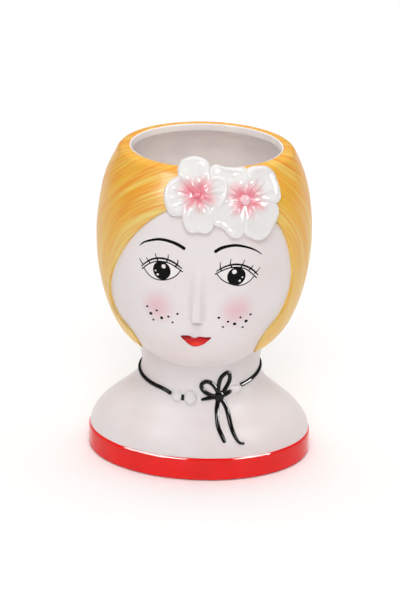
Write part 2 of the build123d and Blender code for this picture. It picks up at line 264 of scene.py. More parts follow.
# Eyes: lines of the lids and lashes, and middles of the iris and its glints, with the glints' radii
EYES = {
    "left": {
        "upper": ((-37.0, 154.0), (-31.9, 159.3), (-25.2, 162.4), (-18.8, 162.2), (-13.1, 159.7),
                  (-9.9, 157.2)),
        "crease": ((-36.5, 152.3), (-30.6, 158.0), (-24.5, 160.4), (-18.8, 160.2), (-13.7, 158.0),
                   (-9.3, 154.9)),
        "lower": ((-35.1, 153.6), (-31.4, 149.5), (-26.5, 147.7), (-22.0, 148.0), (-16.7, 150.0),
                  (-13.0, 152.8), (-10.9, 156.0)),
        "iris": (-23.1, 154.4),
        "glints": ((-21.9, 157.5, 1.5), (-27.2, 153.7, 0.6), (-25.7, 151.3, 0.8)),
        "lashes": (
            ((-38.3, 159.3), (-37.1, 157.3), (-35.7, 155.6)),
            ((-33.7, 161.2), (-32.5, 159.5), (-30.9, 158.0)),
            ((-27.7, 165.1), (-26.8, 162.2), (-25.1, 159.8)),
            ((-19.1, 166.0), (-19.2, 163.1), (-20.4, 160.3)),
            ((-12.7, 163.3), (-12.7, 161.2), (-14.6, 157.8)),
        ),
    },
    "right": {
        "upper": ((12.1, 156.3), (17.7, 159.5), (24.8, 160.6), (30.5, 158.9), (36.2, 154.6), (38.9, 151.0)),
        "crease": ((11.2, 154.2), (16.4, 157.1), (22.0, 158.7), (26.0, 158.5), (30.5, 157.0), (34.9, 153.0),
                   (38.2, 149.2)),
        "lower": ((12.6, 154.9), (16.0, 150.7), (21.2, 147.6), (25.8, 146.0), (30.9, 146.5), (34.2, 148.5),
                  (36.4, 150.9)),
        "iris": (25.1, 152.4),
        "glints": ((23.8, 155.7, 1.6), (28.9, 151.5, 0.6), (27.3, 149.2, 0.8)),
        "lashes": (
            ((14.6, 162.7), (14.9, 158.7), (15.7, 156.5)),
            ((21.5, 164.7), (21.2, 160.5), (22.6, 158.2)),
            ((30.1, 163.2), (28.5, 159.5), (27.4, 157.8)),
            ((35.8, 158.7), (34.2, 156.8), (32.8, 155.8)),
            ((40.0, 156.4), (37.6, 153.4), (36.2, 152.6)),
        ),
    },
}
IRIS_REACH = (6.0, 6.4)
# How deep the back of a painted spot lies in the glaze
PAINT_SINK = 0.2
# Freckles: across, up and radius
FRECKLES = (
    (-32.6, 126.7, 0.806), (-30.1, 121.9, 1.131), (-26.1, 125.3, 0.806), (-28.4, 117.4, 0.741),
    (-22.8, 120.3, 1.131), (-18.3, 122.1, 0.806), (-12.3, 125.0, 0.806), (-15.5, 118.1, 0.741),
    (14.6, 123.4, 0.871), (17.4, 116.1, 0.741), (20.6, 120.0, 0.806), (24.8, 117.8, 1.131),
    (28.5, 122.4, 0.741), (32.1, 118.8, 1.131), (34.9, 123.4, 0.806), (30.0, 114.3, 0.741),
)
# Middles of the sprayed cheeks
BLUSHES = ((-25.2, -67.0, 128.8), (25.8, -67.0, 128.2))

# The choker from the side: how far back and how high
CHOKER_SIDE = (
    (-48.0, 45.0), (-38.4, 52.2), (-35.6, 55.1), (-30.0, 57.1), (-17.2, 58.5), (0.0, 59.9), (20.0, 60.8),
    (48.0, 61.0),
)
# It rises to the right, and its two ends lie this far across and forward
CHOKER_RISE = tan(radians(2.6))
CHOKER_ENDS = (-16.6, 30.0)
CHOKER_FRONT = 36.0
CHOKER_WIDTH = 2.9
# How far the coils of choker and bow stand out, and how far they are pressed in
COIL_RELIEF = 1.5
COIL_SINK = 0.5
# Strokes of the bow and the link between the pearls: points across and up, and how broad they are there
BOW = {
    "bow_left_loop": (
        ((13.4, 52.9), (7.8, 55.3), (3.6, 58.9), (3.0, 62.1), (5.8, 64.5), (10.2, 62.5), (13.8, 56.1)),
        (2.8, 3.0, 3.0, 2.9, 3.0, 3.0, 2.5),
    ),
    "bow_right_loop": (
        ((14.2, 55.7), (14.6, 62.3), (16.8, 68.1), (20.2, 70.1), (21.6, 66.7), (20.6, 61.7), (16.6, 54.9)),
        (2.7, 3.0, 3.1, 2.9, 2.9, 3.0, 2.5),
    ),
    "bow_left_end": (((14.0, 53.5), (7.8, 52.3), (2.8, 51.1)), (3.2, 2.9, 1.6)),
    "bow_right_end": (((15.8, 53.7), (20.0, 54.9), (23.0, 56.3)), (3.4, 3.5, 2.2)),
    "bow_left_tail": (
        ((14.6, 51.3), (13.8, 45.3), (14.2, 40.1), (15.4, 35.1), (17.8, 30.9), (20.6, 26.1)),
        (3.2, 3.1, 3.0, 3.0, 3.1, 2.9),
    ),
    "bow_right_tail": (
        ((16.0, 51.7), (20.0, 45.5), (22.2, 39.7), (24.4, 34.1), (27.6, 28.5), (30.6, 25.5), (33.6, 24.9)),
        (3.1, 3.3, 3.3, 3.0, 2.5, 2.0, 1.6),
    ),
    "choker_link": (((-9.0, 54.2), (-9.3, 52.0), (-9.7, 49.6)), (2.6, 3.0, 2.7)),
}
# The knot's middle and reach
KNOT = ((15.0, 53.3), (3.2, 4.2))
# Pearls: middle and radius; the glaze pooled round them reaches out to a ring
PEARLS = {
    "pearl_outer": ((-13.4, 52.0), 3.5),
    "pearl_inner": ((-4.0, 52.0), 4.6),
    "pearl_right": ((25.8, 56.8), 3.4),
}
PEARL_RING = 1.3

# Usual for a fired glaze
GLAZE_IOR = 1.5
PAPER = "#FBFAFA"
BACKDROP = "#FBFAF9"
BACKDROP_LIGHT = 0.2
# Soft lights: place, aim, width and height in metres, watts, what they give, and the ending of the names of
# the pieces that they are for
LIGHTS = {
    # Two show only as glints in the glaze, and the next two only light
    "left_softbox": ((-0.80, -0.86, 1.04), (0, 0, 0.12), (0.55, 0.28), 10.0, "glossy", ""),
    "right_softbox": ((0.91, -0.76, 1.04), (0, 0, 0.12), (0.45, 0.28), 10.0, "glossy", ""),
    "key_softbox": ((0.03, -1.02, 1.22), (0, 0, 0.12), (0.8, 0.8), 11.4, "diffuse", ""),
    "top_softbox": ((0, 2.0, 2.4), (0, 2.0, 0), (6.0, 5.0), 130.0, "diffuse", ""),
    # Broad boxes glint along the foot band's upper edge, and down the choker and bow
    "left_band_box": ((-0.74, -0.91, 0.62), (0, 0, 0.02), (1.3, 0.4), 64.0, "glossy", "red_foot_band"),
    "right_band_box": ((0.89, -0.77, 0.62), (0, 0, 0.02), (0.8, 0.4), 40.0, "glossy", "red_foot_band"),
    "bow_box": ((1.15, 0.0, 0.34), (0, 0, 0.05), (0.5, 0.5), 60.0, "glossy", "_coil"),
    # A glow from below stands in for the light that the white walls throw about in the hollow
    "hollow_fill": ((0, 0, 0.12), (0, 0, 1), (0.06, 0.06), 0.011, "diffuse", ""),
}
# The camera: focal length in mm, shift, the point that it looks at and how far off it stands, in metres, and
# how far it is turned to the right, raised and rolled
LENS = 132.3
LENS_SHIFT = (-0.0045, -0.017)
CAMERA_AIM = (0, 0, 0.115)
CAMERA_AWAY = 1.5
CAMERA_TURN = radians(3.0)
CAMERA_LIFT = radians(21.33)
CAMERA_ROLL = radians(1.53)


def length(name, description, millimetres):
    """Makes a property for a size."""
    return FloatProperty(name=name, description=description, default=millimetres * MM, min=0.0,
                         subtype="DISTANCE", unit="LENGTH")


def linear(code):
    """Turns an sRGB hex colour into linear light."""
    shares = [int(code[i:i + 2], 16) / 255 for i in (1, 3, 5)]
    return tuple(s / 12.92 if s <= 0.04045 else ((s + 0.055) / 1.055) ** 2.4 for s in shares)


def colour(name, description, code):
    """Makes a property for a colour."""
    return FloatVectorProperty(name=name, description=description, default=linear(code), size=3,
                               min=0.0, max=1.0, subtype="COLOR")


class PlanterSizes(bpy.types.PropertyGroup):
    """Sizes of the planter's pieces"""

    rim_height: length("Rim height", "Height of the mouth's lip above the floor", 218.0)
    wall: length("Wall", "Thickness of the cast wall", 4.5)
    lip_width: length("Lip width", "Width of the mouth's rolled lip", 7.2)
    floor_top: length("Floor", "Height of the floor inside", 7.5)
    foot_recess: length("Foot recess", "Depth of the recess under the foot", 2.5)
    foot_ring: length("Foot ring", "Width of the ring that the planter stands on", 7.0)
    drain_radius: length("Drain radius", "Radius of the drain hole", 6.0)
    hair_back: length("Hair at the back", "Relief of the hair at the back", 2.4)
    hair_side: length("Hair at the sides", "Relief of the hair at the sides", 1.9)
    hair_front: length("Hair at the front", "Relief of the hair at the front", 1.3)
    hair_hem: length("Hair hem", "Height at which the hair ends at the nape", 86.0)
    comb_depth: length("Comb depth", "Depth of the grooves combed in the hair", 0.3)
    band_height: length("Band height", "Height of the raised band round the foot", 17.1)
    band_lift: length("Band lift", "Height of the band's lower edge", 0.6)
    band_relief: length("Band relief", "How far the band stands out", 1.5)
    petal_thickness: length("Petal thickness", "Thickness of a petal", 7.0)
    top_petal_thickness: length("Top petal thickness", "Thickness of the petals above the lip", 4.8)


class PlanterGlazes(bpy.types.PropertyGroup):
    """Colours of the planter's glazes"""

    skin: colour("Skin", "White glaze of face, neck and shoulders", "#EFE8E8")
    skin_warm: colour("Skin, warm", "Where the white glaze is thin", "#ECE1E0")
    blush: colour("Blush", "Pink sprayed on the cheeks", "#E9B3BF")
    # Painted light and shade: the hollow's white is brighter and warmer than the skin's, standing in for the
    # light its walls throw about and the warm tone of its shade
    inside: colour("Inside", "White glaze of the hollow", "#FBF3EE")
    hair_light: colour("Hair, light", "Pale yellow along the hairline", "#F0D57E")
    hair: colour("Hair", "Golden yellow of the hair", "#F2BE46")
    hair_deep: colour("Hair, deep", "Orange brushed from the crown", "#F0962F")
    petal: colour("Petal", "White glaze of the petals", "#F0EDEB")
    throat: colour("Throat", "Pink brushed in the throats", "#F17C8E")
    bead: colour("Bead", "Thin pink wash on the bead in a throat", "#F8CCD3")
    pearl: colour("Pearl", "White glaze pooled over the pearls", "#E8E1E2")
    lips: colour("Lips", "Red of the lips", "#CB121A")
    # The lips' red runs darker towards their edges and corners, and brighter orange-red at the lower lip's
    # crown
    lips_deep: colour("Lips, deep", "Where the red has pooled at the corners", "#8A0A10")
    lips_warm: colour("Lips, warm", "Where the red is thin", "#F7331A")
    band: colour("Band", "Red glaze of the foot band", "#F7100A")
    band_deep: colour("Band, deep", "Where the red glaze has pooled", "#EC0F0A")
    black: colour("Black", "Black overglaze", "#060505")
    eye_white: colour("Eye white", "White of the eyes", "#F4EFEC")


def smooth_table(rows):
    """Gives a function that runs a smooth curve through each column of a table over its first column."""
    table = np.array(rows, float)
    knots, values = table[:, 0], table[:, 1:]
    count, step = len(knots), np.diff(knots)
    system, right = np.eye(count), np.zeros_like(values)
    for i in range(1, count - 1):
        system[i, i - 1:i + 2] = step[i - 1], 2 * (step[i - 1] + step[i]), step[i]
        rise, fall = values[i + 1] - values[i], values[i] - values[i - 1]
        right[i] = 6 * (rise / step[i] - fall / step[i - 1])
    bend = np.linalg.solve(system, right)

    def at(place):
        place = np.clip(place, knots[0], knots[-1])
        i = np.clip(np.searchsorted(knots, place) - 1, 0, count - 2)
        span = step[i][..., None]
        low = (knots[i + 1] - place)[..., None] / span
        high = 1 - low
        curve = low * values[i] + high * values[i + 1]
        curve += ((low**3 - low) * bend[i] + (high**3 - high) * bend[i + 1]) * span**2 / 6
        return np.moveaxis(curve, -1, 0)

    return at


def smooth_line(points, count):
    """Runs a smooth line through points and returns count points evenly along it."""
    points = np.array(points, float)
    steps = np.linalg.norm(np.diff(points[:, :2], axis=0), axis=1)
    along = np.concatenate([[0], np.cumsum(steps)])
    at = smooth_table(np.column_stack([along, points]))
    return at(np.linspace(0, along[-1], count)).T


head_size = smooth_table(HEAD_ROWS)
bust_size = smooth_table(BUST_ROWS)
nose_size = smooth_table(NOSE_ROWS)
choker_height = smooth_table(CHOKER_SIDE)


def eased(low, high, value):
    """Rises smoothly from 0 at low to 1 at high."""
    share = np.clip((value - low) / (high - low), 0, 1)
    return share * share * (3 - 2 * share)


def mound(across, height, centre, reach):
    """Makes a soft hump with given reaches across and up."""
    return np.exp(-(((across - centre[0]) / reach[0]) ** 2) - ((height - centre[1]) / reach[1]) ** 2)


def oval_reach(angle, side, front, back):
    """Reach of a level oval from the planter's axis; the angle is 0 at the front and grows to the right."""
    depth, shift = (front + back) / 2, (back - front) / 2
    sine, cosine = np.sin(angle), np.cos(angle)
    bend = (sine / side) ** 2 + (cosine / depth) ** 2
    slide = cosine * shift / depth**2
    return (np.sqrt(np.maximum(slide**2 - bend * ((shift / depth) ** 2 - 1), 0)) - slide) / bend


def blended(one, other, width):
    """The larger of two reaches, with the corner between them filled."""
    near = np.maximum(width - np.abs(one - other), 0) / width
    return np.maximum(one, other) + near**2 * width / 4


def cast_reach(angle, height, inset=0.0):
    """Reach of the cast form, or of its inner wall when it has an inset."""
    head = np.where(height < JAW_TIP + inset, 0, oval_reach(angle, *head_size(height)) - inset)
    bust = oval_reach(angle, *bust_size(np.minimum(height, COLLAR_TOP))) - inset
    return blended(head, np.where(height > COLLAR_TOP, 0, bust), JAW_BLEND)


def face_relief(across, height):
    """How far the modelled face stands out of the plain form."""
    from_nose = np.abs(across - NOSE_ACROSS)
    # The ridge is flat on top, and narrower towards the brow
    flat_top = 1.9 - 0.3 * eased(124, 160, height)
    ridge = nose_size(height)[0] * eased(*NOSE_BASE, height) * (height < NOSE_TOP)
    relief = ridge * np.exp(-((np.maximum(from_nose - flat_top, 0) / 1.9) ** 1.5))
    # A narrow groove draws the shadow under the nose
    relief -= 1.1 * np.exp(-((from_nose / 3.6) ** 4) - ((height - 118.6) / 0.6) ** 2)
    measured = {"sides": np.abs(across), "nose": from_nose, "middle": across}
    for origin, humps in FACE_RELIEF.items():
        for rise, centre, reach in humps:
            relief += rise * mound(measured[origin], height, centre, reach)
    return relief


def skin_reach(angle, height):
    """Reach of the outside of the casting, with the face."""
    plain = cast_reach(angle, height)
    return plain + face_relief(plain * np.sin(angle), height) * (np.cos(angle) > 0)


def turned(angle, reach, height):
    """Points from their angle, reach and height."""
    angle, reach, height = np.broadcast_arrays(angle, reach, height)
    return np.stack([reach * np.sin(angle), -reach * np.cos(angle), height], -1)


def on_front(across, height, out=0.0, reach=skin_reach):
    """Points on the front of the planter from their place across and up, stood out square to it."""
    across, height = np.broadcast_arrays(np.asarray(across, float), np.asarray(height, float))

    def found(x, z):
        # The depth settles within a few steps from a first guess
        y = np.full(x.shape, -50.0)
        for _ in range(14):
            y = -np.sqrt(np.maximum(reach(np.arctan2(x, -y), z) ** 2 - x**2, 1))
        return np.stack([x, y, z], -1)

    small = 0.05
    normal = np.cross(found(across + small, height) - found(across - small, height),
                      found(across, height + small) - found(across, height - small))
    normal /= np.linalg.norm(normal, axis=-1, keepdims=True)
    return found(across, height) + normal * np.asarray(out)[..., None]


def on_blossom(across, up, out, middle):
    """Points on the domed form under the petals, from their place across and up from a blossom's middle."""
    across, up = across + middle[0], up + middle[1]
    rise = np.sqrt(DOME_RADIUS**2 - across**2 - up**2)
    reach = (DOME_RADIUS + out) / DOME_RADIUS
    sine, cosine = np.sin(BLOSSOM_TILT), np.cos(BLOSSOM_TILT)
    x, y, z = BLOSSOM_ORIGIN
    return np.stack([x + across * reach, y + (sine * up - cosine * rise) * reach,
                     z + (cosine * up + sine * rise) * reach], -1)


def bloom_place(places, middle):
    """Where points lie across and up from the middle of their blossom."""
    sine, cosine = np.sin(BLOSSOM_TILT), np.cos(BLOSSOM_TILT)
    off = places - BLOSSOM_ORIGIN
    up = cosine * off[:, 2] + sine * off[:, 1]
    return np.stack([off[:, 0] - middle[0], up - middle[1], np.zeros(len(off))], -1)


def even_noise(place, seed, count=997):
    """Smooth noise along one coordinate, from -1 to 1, with one bump for each whole step."""
    values = np.random.default_rng(seed).uniform(-1, 1, count)
    whole = np.floor(place).astype(int)
    share = eased(0, 1, place - whole)
    return values[whole % count] * (1 - share) + values[(whole + 1) % count] * share


def finish_mesh(name, shell, material, node=None):
    """Turns a bmesh into a piece on the root body."""
    for face in shell.faces:
        face.smooth = True
    mesh = bpy.data.meshes.new(name)
    shell.to_mesh(mesh)
    shell.free()
    mesh.materials.append(material)
    piece = bpy.data.objects.new(name, mesh)
    bpy.context.scene.collection.objects.link(piece)
    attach(piece, "root")
    if node:
        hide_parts(node)
    return piece


def place_of(piece):
    """Where a piece's points are, in millimetres."""
    places = np.empty(len(piece.data.vertices) * 3)
    piece.data.vertices.foreach_get("co", places)
    return places.reshape(-1, 3) / MM


def mark(piece, name, values):
    """Gives a piece's points a vector that its material reads."""
    attribute = piece.data.attributes.new(name, "FLOAT_VECTOR", "POINT")
    attribute.data.foreach_set("vector", np.asarray(values, float).ravel())


def woven(rows):
    """Starts from a flat grid, lays it over rows of points and welds it where they meet."""
    rows = np.asarray(rows)
    high, wide = rows.shape[0] - 1, rows.shape[1] - 1
    shell = bmesh.new()
    bmesh.ops.create_grid(shell, x_segments=wide, y_segments=high, size=0.5)
    for vertex in shell.verts:
        row, column = round((vertex.co.y + 0.5) * high), round((vertex.co.x + 0.5) * wide)
        vertex.co = rows[row, column] * MM
    bmesh.ops.remove_doubles(shell, verts=shell.verts, dist=0.002 * MM)
    bmesh.ops.recalc_face_normals(shell, faces=shell.faces)
    return shell


def cushion(outline, centre, front, back, place, around=48, rings=20):
    """Starts from a ball and presses it into an outline; front and back give how far out its faces lie."""
    corners = np.array(outline, float) - centre
    turns = np.arctan2(corners[:, 1], corners[:, 0])
    order = np.argsort(turns)
    turns, far = turns[order], np.linalg.norm(corners[order], axis=1)
    turns = np.concatenate([turns[-1:] - 2 * np.pi, turns, turns[:1] + 2 * np.pi])
    far = np.concatenate([far[-1:], far, far[:1]])
    shell = bmesh.new()
    bmesh.ops.create_uvsphere(shell, u_segments=around, v_segments=rings, radius=1)
    ball = np.array([vertex.co for vertex in shell.verts])
    share = np.minimum(np.hypot(ball[:, 0], ball[:, 1]), 1)
    turn = np.arctan2(ball[:, 1], ball[:, 0])
    reach = share * np.interp(turn, turns, far)
    across, up = centre[0] + reach * np.cos(turn), centre[1] + reach * np.sin(turn)
    out = np.where(ball[:, 2] > 0, front(share, across, up), back(share, across, up))
    for vertex, point in zip(shell.verts, place(across, up, out)):
        vertex.co = point * MM
    bmesh.ops.recalc_face_normals(shell, faces=shell.faces)
    return shell


def closed_outline(points, count=360):
    """Runs a smooth closed line through points."""
    points = np.array(points, float)
    wrapped = np.concatenate([points[-3:], points, points[:3]])
    steps = np.concatenate([[0], np.cumsum(np.linalg.norm(np.diff(wrapped, axis=0), axis=1))])
    at = smooth_table(np.column_stack([steps, wrapped]))
    start, end = steps[3], steps[3 + len(points)]
    return at(np.linspace(start, end, count, endpoint=False)).T


def oval(centre, reach, wobble=0.0):
    """Points round an oval, drawn a little towards three corners by a wobble."""
    turn = np.linspace(0, 2 * np.pi, 48, endpoint=False)
    across = centre[0] + reach[0] * np.cos(turn) * (1 + wobble * np.cos(3 * turn))
    return np.stack([across, centre[1] + reach[1] * np.sin(turn)], -1)


def dome(height, power=2):
    """Gives a face of a cushion that rises to a height, and is flatter for a higher power."""
    return lambda share, across, up: height * np.sqrt(1 - share**power)


def pooled(radius, share, across, up):
    """Height of a ball whose glaze has run into a hollow ring round its foot."""
    ball = np.sqrt(np.maximum(1 - (PEARL_RING * share) ** 2, 0))
    return radius * blended(ball * 0.93, 0.45 * (1 - share) ** 2, 0.35) * np.sqrt(1 - share**8)


def coil(line, normals, widths, relief, sink, around=16):
    """Lays a half-round coil of clay along a line on the skin."""
    line, normals, widths = np.asarray(line), np.asarray(normals), np.asarray(widths, float)
    steps = np.concatenate([[0], np.cumsum(np.linalg.norm(np.diff(line, axis=0), axis=1))])
    run = np.gradient(line, axis=0)
    side = np.cross(normals, run)
    side /= np.linalg.norm(side, axis=1, keepdims=True)
    to_end = np.minimum(steps, steps[-1] - steps) / (widths / 2)
    taper = np.sqrt(1 - (1 - np.clip(to_end, 0, 1)) ** 2)[:, None]
    rows = []
    for turn in np.linspace(0, 2 * np.pi, around + 1):
        rise = np.sin(turn) * (relief if np.sin(turn) > 0 else sink)
        rows.append(line + (side * widths[:, None] * np.cos(turn) / 2 + normals * rise) * taper)
    return woven(rows)


def line_on(points, widths, spacing=0.35):
    """Runs a smooth line through points across and up, and finds it, its normals and widths on the skin."""
    table = np.column_stack([np.array(points, float), np.broadcast_to(widths, len(points))])
    span = np.linalg.norm(np.diff(table[:, :2], axis=0), axis=1).sum()
    drawn = smooth_line(table, max(int(span / spacing), 8) + 1)
    # The ends get closer rows, so that they come out round
    shares = (1 - np.cos(np.linspace(0, np.pi, len(drawn)))) / 2
    even = np.linspace(0, 1, len(drawn))
    drawn = np.stack([np.interp((shares + even) / 2, even, column) for column in drawn.T], -1)
    line = on_front(drawn[:, 0], drawn[:, 1])
    normals = on_front(drawn[:, 0], drawn[:, 1], np.ones(len(drawn))) - line
    return line, normals, drawn[:, 2]


def add_node(material, kind, settings=()):
    """Adds a node. A setting is the node's own or an input's, and a socket as its value is linked."""
    node = material.node_tree.nodes.new(kind)
    for key, value in dict(settings).items():
        if isinstance(value, bpy.types.NodeSocket):
            material.node_tree.links.new(value, node.inputs[key])
        elif isinstance(key, str) and hasattr(node, key):
            setattr(node, key, value)
        else:
            node.inputs[key].default_value = value
    return node


def glazed(name, roughness, coat, ripple_size, ripple, subsurface=0.0, mirror=0.35):
    """Starts a fired glaze: a glassy coat over the body, with the slow ripple that a flowing glaze leaves.
    The ripple's width and depth are in millimetres."""
    material = bpy.data.materials.new(name)
    material.use_nodes = True
    material.node_tree.nodes.clear()
    place = add_node(material, "ShaderNodeTexCoord").outputs["Object"]
    wave = add_node(material, "ShaderNodeTexNoise",
                    {"Vector": place, "Scale": 1 / (ripple_size * MM), "Detail": 2.0})
    bump = add_node(material, "ShaderNodeBump",
                    {"Height": wave.outputs["Fac"], "Strength": 1.0, "Distance": ripple * MM})
    shader = add_node(material, "ShaderNodeBsdfPrincipled", {
        "Roughness": roughness, "IOR": GLAZE_IOR, "Specular IOR Level": mirror,
        "Coat Weight": coat, "Coat Roughness": 0.04, "Coat IOR": GLAZE_IOR,
        "Subsurface Weight": subsurface, "Subsurface Scale": 2 * MM, "Subsurface Radius": (1.0, 0.6, 0.45),
        "Normal": bump.outputs["Normal"],
    })
    add_node(material, "ShaderNodeOutputMaterial", {"Surface": shader.outputs["BSDF"]})
    return material, shader, place


def distance(material, place, centre, squash):
    """Measures in metres how far a place is from a centre given in millimetres, with each axis squashed."""
    far = place
    for operation, vector in (("SUBTRACT", tuple(value * MM for value in centre)), ("MULTIPLY", squash)):
        step = add_node(material, "ShaderNodeVectorMath", {"operation": operation, 0: far, 1: vector})
        far = step.outputs[0]
    return add_node(material, "ShaderNodeVectorMath", {"operation": "LENGTH", 0: far}).outputs["Value"]


def washed(material, under, over, value, low, high, most=1.0, thinned=None):
    """Washes one tint over another, from none of it to most of it as a value runs from low to high."""
    share = add_node(material, "ShaderNodeMapRange", {
        "interpolation_type": "SMOOTHSTEP", "Value": value, "From Min": low, "From Max": high, "To Max": most,
    }).outputs["Result"]
    if thinned is not None:
        both = {"operation": "MULTIPLY", 0: share, 1: thinned}
        share = add_node(material, "ShaderNodeMath", both).outputs[0]
    # A tint is a colour or what an earlier wash gave. In a colour mix these are inputs 6 and 7, and output 2.
    under, over = (tint if isinstance(tint, bpy.types.NodeSocket) else (*tint, 1.0) for tint in (under, over))
    return add_node(material, "ShaderNodeMix", {"data_type": "RGBA", 0: share, 6: under, 7: over}).outputs[2]


def white_glaze(tints):
    """Clear glaze over slip-cast white earthenware: a soft cream white, with pink sprayed on the cheeks."""
    material, shader, place = glazed("white_glazed_earthenware", 0.38, 0.0, 22, 0.10, 0.06)
    cloud = add_node(material, "ShaderNodeTexNoise", {"Vector": place, "Scale": 1 / (45 * MM), "Detail": 3.0})
    tint = washed(material, tints.skin, tints.skin_warm, cloud.outputs["Fac"], 0.35, 0.7)
    # The droplets of the spray are finer than this, and are drawn 2.2 mm wide so that they show
    spray = add_node(material, "ShaderNodeTexNoise",
                     {"Vector": place, "Scale": 1 / (2.2 * MM), "Detail": 2.0})
    grain = add_node(material, "ShaderNodeMath",
                     {"operation": "MULTIPLY_ADD", 0: spray.outputs["Fac"], 1: 0.25, 2: 0.875})
    for centre in BLUSHES:
        far = distance(material, place, centre, (1.0, 0.8, 1.0))
        tint = washed(material, tint, tints.blush, far, 15.5 * MM, 1.0 * MM, 0.66, grain.outputs[0])
    return material, shader, tint


def hair_glaze(tints):
    """Yellow underglaze with orange brushed along the strands: soft streaks that follow the comb."""
    material, shader, place = glazed("brushed_yellow_glaze", 0.34, 0.08, 14, 0.08)
    strand = add_node(material, "ShaderNodeAttribute", {"attribute_name": STRAND}).outputs["Vector"]
    # The strands' attribute is in millimetres, so each mark's width and length scale it
    streaks = []
    for width, run in BRUSH_MARKS:
        drawn_out = add_node(material, "ShaderNodeVectorMath",
                             {"operation": "MULTIPLY", 0: strand, 1: (1 / width, 1 / run, 0.0)})
        streaks.append(add_node(material, "ShaderNodeTexNoise", {
            "Vector": drawn_out.outputs[0], "Scale": 1.0, "Detail": 2.0, "Roughness": 0.5,
        }).outputs["Fac"])
    fine, broad = streaks
    edge = add_node(material, "ShaderNodeSeparateXYZ", {"Vector": strand}).outputs["Z"]
    height = add_node(material, "ShaderNodeSeparateXYZ", {"Vector": place}).outputs["Z"]
    tint = washed(material, tints.hair_light, tints.hair, edge, 2.0, 22.0)
    tint = washed(material, tint, tints.hair_light, broad, 0.40, 0.66, 0.5)
    # The orange is brushed down from the crown and runs out above the jaw
    crown = add_node(material, "ShaderNodeMapRange", {
        "interpolation_type": "SMOOTHSTEP", "Value": height,
        "From Min": 125 * MM, "From Max": 215 * MM, "To Min": 0.15, "To Max": 0.95,
    }).outputs["Result"]
    tint = washed(material, tint, tints.hair_deep, fine, 0.36, 0.68, thinned=crown)
    return material, shader, tint


def petal_glaze(tints):
    """Thick white glaze with pink brushed outwards from the throat: glassy ribs under a ragged pink star."""
    material, shader, _ = glazed("pink_throated_white_glaze", 0.16, 0.8, 9, 0.12, 0.08)
    bloom = add_node(material, "ShaderNodeAttribute", {"attribute_name": BLOOM}).outputs["Vector"]
    reach = add_node(material, "ShaderNodeVectorMath", {"operation": "LENGTH", 0: bloom}).outputs["Value"]
    ray = add_node(material, "ShaderNodeVectorMath", {"operation": "NORMALIZE", 0: bloom}).outputs[0]
    for scale, spread in BRUSH_RAYS:
        streak = add_node(material, "ShaderNodeTexNoise", {"Vector": ray, "Scale": scale, "Detail": 1.0})
        ragged = add_node(material, "ShaderNodeMapRange", {
            "interpolation_type": "SMOOTHSTEP", "Value": streak.outputs["Fac"],
            "From Min": 0.3, "From Max": 0.7, "To Min": -spread, "To Max": spread,
        })
        reach = add_node(material, "ShaderNodeMath",
                         {"operation": "SUBTRACT", 0: reach, 1: ragged.outputs["Result"]}).outputs[0]
    tint = washed(material, tints.petal, tints.throat, reach, 15.0, 2.5, 0.88)
    return material, shader, tint


def lip_glaze(tints):
    """Red overglaze: brighter and more orange at the lower lip's crown, darker red towards the edges and
    corners.
    """
    material, shader, place = glazed("red_lip_glaze", 0.2, 0.4, 10, 0.05, mirror=0.05)
    far = distance(material, place, LIPS_CROWN, (0.6, 0.0, 1.3))
    tint = washed(material, tints.lips, tints.lips_deep, far, 4.8 * MM, 8.0 * MM)
    tint = washed(material, tint, tints.lips_warm, far, 4.5 * MM, 0.5 * MM)
    return material, shader, tint


def plain_glaze(tints, name, low, high, patch, roughness, coat, ripple, subsurface, mirror):
    """One glaze whose tint wanders in patches where it ran thin or pooled."""
    material, shader, place = glazed(name, roughness, coat, 12, ripple, subsurface, mirror)
    patches = add_node(material, "ShaderNodeTexNoise",
                       {"Vector": place, "Scale": 1 / (patch * MM), "Detail": 3.0})
    low, high = getattr(tints, low), getattr(tints, high)
    tint = washed(material, low, high, patches.outputs["Fac"], 0.35, 0.7)
    return material, shader, tint


PAINTED_GLAZES = {"skin": white_glaze, "hair": hair_glaze, "petal": petal_glaze, "lips": lip_glaze}
# Name, two tints, size of their patches in mm, roughness, coat, ripple in mm, light let in, mirror
PLAIN_GLAZES = {
    # Iron-red glaze poured round the foot: bright and glassy, with a sharp glint along its edge
    "band": ("red_band_glaze", "band", "band_deep", 30, 0.15, 0.7, 0.05, 0.0, 0.02),
    # Black overglaze laid on thick: it stands up and shines like wet paint
    "black": ("black_overglaze", "black", "black", 20, 0.15, 0.5, 0.05, 0.0, 0.02),
    # Black pencilled thinly on the glaze: dull lines with no glint
    "ink": ("black_pencilled_glaze", "black", "black", 20, 0.5, 0.0, 0.08, 0.0, 0.1),
    # White glaze pooled over clay balls: milky, with one small glint
    "pearl": ("white_pearl_glaze", "pearl", "petal", 5, 0.1, 1.0, 0.05, 0.08, 0.35),
    # White glaze poured in and tipped out again: soft and a little uneven. Its tint is painted light and
    # shade, brighter and warmer than the skin's, for the light thrown about in the hollow and the warm tone
    # of its shade
    "inside": ("white_poured_glaze_painted_bounce", "inside", "skin", 30, 0.25, 0.2, 0.08, 0.0, 0.35),
    # White glaze brushed inside the eyes: cleaner than the skin round it
    "eye": ("eye_white_glaze", "eye_white", "skin", 10, 0.12, 0.3, 0.08, 0.0, 0.35),
    # Thin pink wash over a clay bead: pale, with one bright glint
    "bead": ("pink_bead_glaze", "bead", "bead", 5, 0.1, 0.9, 0.05, 0.08, 0.35),
    # The same bead where the pink of the throat has run over it: deep pink in patches
    "wash": ("deep_pink_bead_glaze", "throat", "bead", 5, 0.1, 0.9, 0.05, 0.08, 0.35),
}


@cache
def glaze(kind):
    """Makes a glaze of this planter, once."""
    tints = bpy.context.scene.planter_glazes
    made = PAINTED_GLAZES[kind](tints) if kind in PAINTED_GLAZES else plain_glaze(tints, *PLAIN_GLAZES[kind])
    material, shader, tint = made
    material.node_tree.links.new(tint, shader.inputs["Base Color"])
    return material


